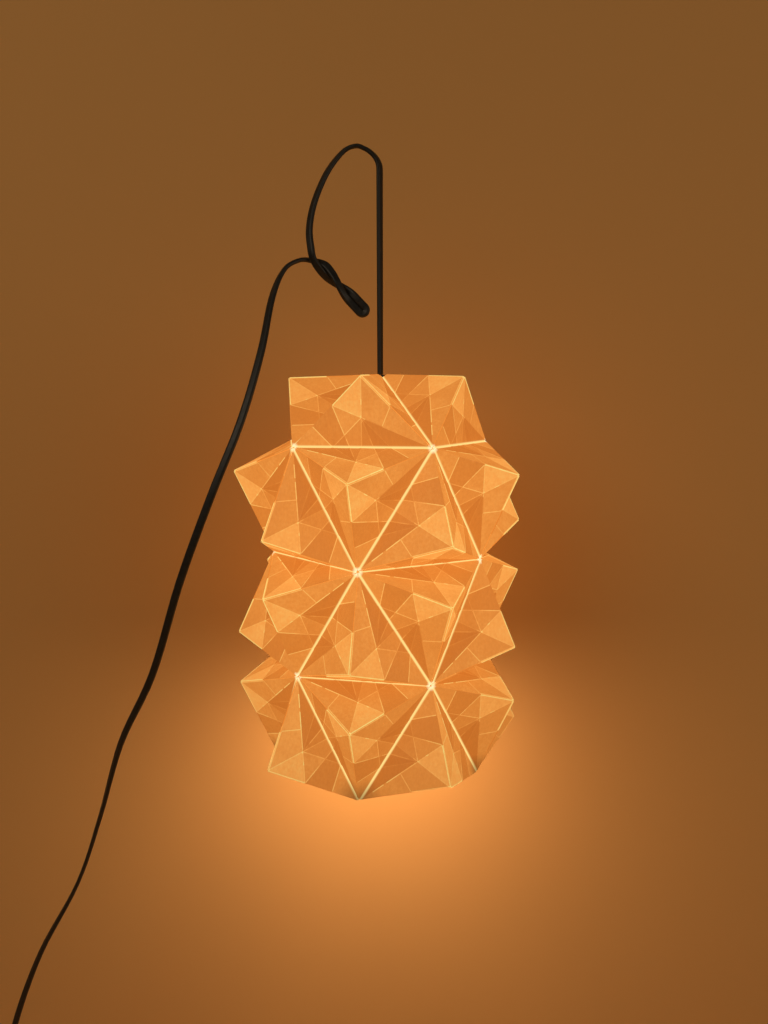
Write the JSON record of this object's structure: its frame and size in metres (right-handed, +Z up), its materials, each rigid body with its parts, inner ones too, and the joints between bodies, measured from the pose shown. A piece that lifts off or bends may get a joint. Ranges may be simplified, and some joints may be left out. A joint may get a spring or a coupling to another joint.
{
  "type": "hanging paper lampshade",
  "caption": "Hanging lampshade of interlocked folded paper units round a screw lampholder and bulb, open below, on a black plug-in cord that rests over a hook.",
  "frame": {"origin": "the point where the cord rests on its hook, on the underside of the cord's arc", "axes": "+Z up, the lamp hangs along -Z; +X to the right as seen from the front, with the cord's tail towards -X; -Y towards the viewer"},
  "size_m": [0.5467, 0.2352, 0.9717],
  "materials": {
    "paper": "thin translucent paper, lit warm from inside",
    "holder_plastic": "moulded, satin",
    "plated_metal": "nickel plated",
    "opal_glass": "opal, lit",
    "cord": "smooth black sheath, flat two-core",
    "plug_plastic": "moulded, fine grain"
  },
  "bodies": {
    "cord": {"cord": "cord", "cord_coil": "cord", "plug_body": "plug_plastic", "plug_pins": "plated_metal"},
    "lampholder": {"cord_drop": "cord", "cord_grip": "holder_plastic", "lampholder_cap": "holder_plastic", "lampholder_skirt": "holder_plastic"},
    "bulb": {"bulb_base": "plated_metal", "bulb_glass": "opal_glass"},
    "shade": {"unit_crown_01": "paper", "unit_crown_02": "paper", "unit_crown_03": "paper", "unit_crown_04": "paper", "unit_crown_05": "paper", "unit_ring_1_01": "paper", "unit_ring_1_02": "paper", "unit_ring_1_03": "paper", "unit_ring_1_04": "paper", "unit_ring_1_05": "paper", "unit_zigzag_1_01": "paper", "unit_zigzag_1_02": "paper", "unit_zigzag_1_03": "paper", "unit_zigzag_1_04": "paper", "unit_zigzag_1_05": "paper", "unit_zigzag_1_06": "paper", "unit_zigzag_1_07": "paper", "unit_zigzag_1_08": "paper", "unit_zigzag_1_09": "paper", "unit_zigzag_1_10": "paper", "unit_ring_2_01": "paper", "unit_ring_2_02": "paper", "unit_ring_2_03": "paper", "unit_ring_2_04": "paper", "unit_ring_2_05": "paper", "unit_zigzag_2_01": "paper", "unit_zigzag_2_02": "paper", "unit_zigzag_2_03": "paper", "unit_zigzag_2_04": "paper", "unit_zigzag_2_05": "paper", "unit_zigzag_2_06": "paper", "unit_zigzag_2_07": "paper", "unit_zigzag_2_08": "paper", "unit_zigzag_2_09": "paper", "unit_zigzag_2_10": "paper", "unit_ring_3_01": "paper", "unit_ring_3_02": "paper", "unit_ring_3_03": "paper", "unit_ring_3_04": "paper", "unit_ring_3_05": "paper", "unit_zigzag_3_01": "paper", "unit_zigzag_3_02": "paper", "unit_zigzag_3_03": "paper", "unit_zigzag_3_04": "paper", "unit_zigzag_3_05": "paper", "unit_zigzag_3_06": "paper", "unit_zigzag_3_07": "paper", "unit_zigzag_3_08": "paper", "unit_zigzag_3_09": "paper", "unit_zigzag_3_10": "paper"}
  },
  "joints": [
    {"name": "swing", "type": "hinge", "parent": "cord", "child": "lampholder", "pos_m": [0.0136, 0, -0.016], "axis": [0, 1, 0], "range_deg": [-5, 5]},
    {"name": "bulb_screw", "type": "hinge", "parent": "lampholder", "child": "bulb", "pos_m": [0.0136, 0, -0.2435], "axis": [0, 0, -1], "range_deg": [0, 1260]},
    {"name": "shade_turn", "type": "hinge", "parent": "lampholder", "child": "shade", "pos_m": [0.0136, 0, -0.1735], "axis": [0, 0, 1], "continuous": true}
  ]
}
